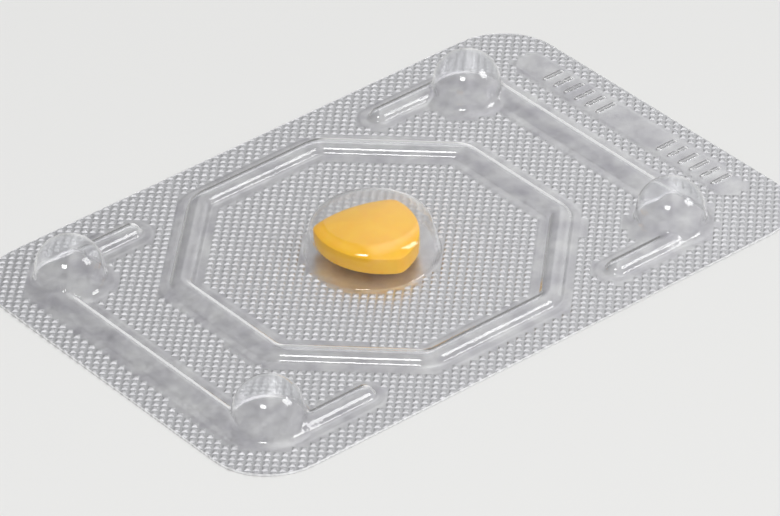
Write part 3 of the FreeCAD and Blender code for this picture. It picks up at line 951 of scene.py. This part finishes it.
def clearMaterial(look):
    material, tree = newMaterial("clearFilm")
    coordinates = addNode(tree, "ShaderNodeTexCoord").outputs["Object"]
    glass = addNode(tree, "ShaderNodeBsdfPrincipled")
    setInputs(glass, Base_Color=look["colour"], IOR=look["ior"])
    haze = noiseTexture(tree, coordinates, 1 / (look["hazeSize"] * mm), 3.0)
    hazed = ranged(tree, haze, look["roughLow"], look["roughHigh"])
    cutEdge = addNode(tree, "ShaderNodeAttribute", attribute_name="cutEdge").outputs["Fac"]
    clearness = ranged(tree, cutEdge, 1.0, look["edgeClear"], 0.0, 1.0)
    link(tree, clearness, glass.inputs["Transmission Weight"])
    frosted = mathNode(tree, "MULTIPLY", cutEdge, look["edgeRough"])
    link(tree, mathNode(tree, "ADD", hazed, frosted), glass.inputs["Roughness"])
    # soft ripples all over, and draw streaks down the steep walls
    ripple = noiseTexture(tree, coordinates, 1 / (look["rippleSize"] * mm), 1.0, 0.3)
    upright = addNode(tree, "ShaderNodeMapping")
    upright.inputs["Scale"].default_value = (1.0, 1.0, look["streakStretch"])
    link(tree, coordinates, upright.inputs["Vector"])
    streak = noiseTexture(tree, upright.outputs[0], 1 / (look["streakSize"] * mm), 1.0, 0.4)
    facing = addNode(tree, "ShaderNodeSeparateXYZ")
    link(tree, addNode(tree, "ShaderNodeNewGeometry").outputs["Normal"], facing.inputs[0])
    level = mathNode(tree, "ABSOLUTE", facing.outputs["Z"])
    steep = ranged(tree, level, look["streakHeight"] * mm, 0.0, *look["streakFade"])
    streaks = mathNode(tree, "MULTIPLY", streak, steep)
    ripples = mathNode(tree, "MULTIPLY", ripple, look["rippleHeight"] * mm)
    link(tree, bumped(tree, mathNode(tree, "ADD", ripples, streaks), 1.0), glass.inputs["Normal"])
    out = addNode(tree, "ShaderNodeOutputMaterial")
    link(tree, lightPathGlass(tree, glass.outputs[0]), out.inputs["Surface"])
    return material


foilFinish = {
    "pale": (0.82, 0.82, 0.825, 1),
    # the dull tone's lilac tint is a painted reflection of a purple surround
    "dullPaintedLilac": (0.54, 0.53, 0.57, 1),
    "pressed": (0.64, 0.64, 0.655, 1),
    "metallic": 0.86,  # the rest is the lacquer's own pale haze
    "roughLow": 0.28,
    "roughHigh": 0.40,
    "knurlRougher": 0.20,
    "blotchSize": 3.5,
    "rubbedSize": 1.3,
    "grainSize": 0.12,
    "grainHeight": 0.0015,
    "grainStretch": 0.08,
    "creaseSize": 1.9,
    "creaseHeight": 0.07,
}


def foilMaterial(look):
    material, tree = newMaterial("liddingFoil")
    coordinates = addNode(tree, "ShaderNodeTexCoord").outputs["Object"]
    metal = setInputs(addNode(tree, "ShaderNodeBsdfPrincipled"), Metallic=look["metallic"])
    # blotches of random tone between pale and dull, and the dull tone's lilac tint is a painted
    # reflection
    blotch = noiseTexture(tree, coordinates, 1 / (look["blotchSize"] * mm), 3.0, 0.55)
    shade = addNode(tree, "ShaderNodeMix", data_type="RGBA")
    link(tree, ranged(tree, blotch, 0.0, 1.0), shade.inputs[0])
    shade.inputs[6].default_value = look["dullPaintedLilac"]
    shade.inputs[7].default_value = look["pale"]
    # the sealed cells are pressed even, and their flanks are scuffed by the plate
    knurled = addNode(tree, "ShaderNodeAttribute", attribute_name="knurled").outputs["Fac"]
    sealed = ranged(tree, knurled, 0.0, 1.0, 0.0, 0.5)
    evened = addNode(tree, "ShaderNodeMix", data_type="RGBA")
    link(tree, sealed, evened.inputs[0])
    link(tree, shade.outputs[2], evened.inputs[6])
    evened.inputs[7].default_value = look["pressed"]
    link(tree, evened.outputs[2], metal.inputs["Base Color"])
    rubbed = noiseTexture(tree, coordinates, 1 / (look["rubbedSize"] * mm), 2.0)
    scuffed = ranged(tree, knurled, 0.0, look["knurlRougher"], 0.5, 1.0)
    rough = mathNode(tree, "ADD", ranged(tree, rubbed, look["roughLow"], look["roughHigh"]), scuffed)
    link(tree, rough, metal.inputs["Roughness"])
    # rolling marks run along the pack, creases run any way
    stretched = addNode(tree, "ShaderNodeMapping")
    stretched.inputs["Scale"].default_value = (look["grainStretch"], 1.0, 1.0)
    link(tree, coordinates, stretched.inputs["Vector"])
    grain = noiseTexture(tree, stretched.outputs[0], 1 / (look["grainSize"] * mm), 1.0)
    crease = noiseTexture(tree, coordinates, 1 / (look["creaseSize"] * mm), 2.0, 0.45)
    rolled = mathNode(tree, "MULTIPLY", grain, look["grainHeight"] * mm)
    loose = ranged(tree, knurled, look["creaseHeight"] * mm, 0.0, 0.0, 0.5)
    total = mathNode(tree, "ADD", rolled, mathNode(tree, "MULTIPLY", crease, loose))
    link(tree, bumped(tree, total, 1.0), metal.inputs["Normal"])
    out = addNode(tree, "ShaderNodeOutputMaterial")
    link(tree, metal.outputs[0], out.inputs["Surface"])
    return material


coatFinish = {
    "bright": (0.99, 0.55, 0.012, 1),
    "deep": (0.95, 0.46, 0.006, 1),
    "roughLow": 0.35,
    "roughHigh": 0.46,
    "specular": 0.25,
    "glow": 0.2,  # light that seeps through the coat
    "glowReach": 0.5,
    "glowRadius": (1.0, 0.5, 0.15),
    "cloudSize": 1.6,
    "pitSize": 0.22,
    "pitHeight": 0.008,
}


def coatMaterial(look):
    material, tree = newMaterial("tabletCoat")
    coordinates = addNode(tree, "ShaderNodeTexCoord").outputs["Object"]
    coat = addNode(tree, "ShaderNodeBsdfPrincipled")
    setInputs(coat, Specular_IOR_Level=look["specular"], Subsurface_Weight=look["glow"])
    setInputs(coat, Subsurface_Scale=look["glowReach"] * mm, Subsurface_Radius=look["glowRadius"])
    cloud = noiseTexture(tree, coordinates, 1 / (look["cloudSize"] * mm), 4.0, 0.6)
    shade = addNode(tree, "ShaderNodeMix", data_type="RGBA")
    link(tree, ranged(tree, cloud, 0.0, 1.0), shade.inputs[0])
    shade.inputs[6].default_value = look["deep"]
    shade.inputs[7].default_value = look["bright"]
    link(tree, shade.outputs[2], coat.inputs["Base Color"])
    rough = ranged(tree, cloud, look["roughLow"], look["roughHigh"])
    link(tree, rough, coat.inputs["Roughness"])
    pits = noiseTexture(tree, coordinates, 1 / (look["pitSize"] * mm), 2.0, 0.5)
    link(tree, bumped(tree, pits, look["pitHeight"] * mm), coat.inputs["Normal"])
    out = addNode(tree, "ShaderNodeOutputMaterial")
    link(tree, coat.outputs[0], out.inputs["Surface"])
    return material


# Putting the pack together

clearFilm.data.materials.append(clearMaterial(clearFinish))
liddingFoil = makeFoil(foilMaterial(foilFinish))
print("foil knurled:", len(liddingFoil.data.polygons), "faces")
coatedTablet = makeTablet()
coatedTablet.data.materials.append(coatMaterial(coatFinish))
print("tablet made:", len(coatedTablet.data.polygons), "faces")

for piece, node, slot in (
    (clearFilm, "blister_film", "clear_film"),
    (liddingFoil, "lidding_foil", "foil"),
    (coatedTablet, "tablet", "tablet_coat"),
):
    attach(piece, "root")
    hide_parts(node)


# Floor, lamps and sky

studio = {
    "floorSize": 6.0,
    "floorDrop": 0.00002,  # keeps the floor off the foil's underside
    "floorColour": (0.80, 0.80, 0.79, 1),
    "floorRoughness": 0.9,
    "lampAway": 1.0,
    "keyDirection": (-0.61, -0.42, 0.67),
    "keySize": (0.24, 0.18),
    "keyRadiance": 17.7,
    "softDirection": (0.47, -0.683, 0.559),
    "softSize": (0.17, 0.4),
    "softRadiance": 11.8,
    "skyUp": ((0, 0.56), (0.4, 0.43), (0.62, 0.43), (0.8, 0.7), (1, 1.02)),
    "skyRight": (0.77, -0.63, 0.0),
    "skyAside": (
        (0, 0.74), (0.3, 0.74), (0.44, 0.42), (0.55, 1.95), (0.64, 1.9), (0.76, 1.2), (1, 1.15)),
}


def makeFloor(setup):
    half, low = setup["floorSize"] / 2, -setup["floorDrop"]
    corners = [(-half, -half, low), (half, -half, low), (half, half, low), (-half, half, low)]
    floor = newMeshObject("floor", corners, [(0, 1, 2, 3)], smooth=False)
    material, tree = newMaterial("paleFloor")
    matt = addNode(tree, "ShaderNodeBsdfPrincipled")
    setInputs(matt, Base_Color=setup["floorColour"], Roughness=setup["floorRoughness"])
    out = addNode(tree, "ShaderNodeOutputMaterial")
    link(tree, matt.outputs[0], out.inputs["Surface"])
    floor.data.materials.append(material)


def makeLamp(setup, kind):
    size = setup[kind + "Size"]
    data = bpy.data.lights.new(kind + "Lamp", "AREA")
    data.shape = "RECTANGLE"
    data.size, data.size_y = size
    data.energy = setup[kind + "Radiance"] * math.pi * size[0] * size[1]
    lamp = bpy.data.objects.new(kind + "Lamp", data)
    scene.collection.objects.link(lamp)
    ray = Vector(setup[kind + "Direction"]).normalized()
    lamp.location = ray * setup["lampAway"]
    lamp.rotation_euler = ray.to_track_quat("Z", "Y").to_euler()


def makeSky(setup):
    world = bpy.data.worlds.new("studio")
    world.use_nodes = True
    tree = world.node_tree
    tree.nodes.clear()
    direction = addNode(tree, "ShaderNodeTexCoord").outputs["Generated"]
    split = addNode(tree, "ShaderNodeSeparateXYZ")
    link(tree, direction, split.inputs[0])
    level = ramped(tree, split.outputs["Z"], setup["skyUp"])
    # a dim and a bright panel either side of what the foil mirrors to the camera
    aside = addNode(tree, "ShaderNodeVectorMath", operation="DOT_PRODUCT")
    aside.inputs[1].default_value = setup["skyRight"]
    link(tree, direction, aside.inputs[0])
    across = ranged(tree, aside.outputs["Value"], 0.0, 1.0, -1.0, 1.0)
    tilt = ramped(tree, across, setup["skyAside"])
    light = addNode(tree, "ShaderNodeBackground")
    link(tree, mathNode(tree, "MULTIPLY", level, tilt), light.inputs["Strength"])
    out = addNode(tree, "ShaderNodeOutputWorld")
    link(tree, light.outputs[0], out.inputs["Surface"])
    light.inputs["Color"].default_value = (1, 1, 1, 1)
    scene.world = world


makeFloor(studio)
makeLamp(studio, "key")
makeLamp(studio, "soft")
makeSky(studio)
scene.view_settings.view_transform = "Standard"
print("stage set")
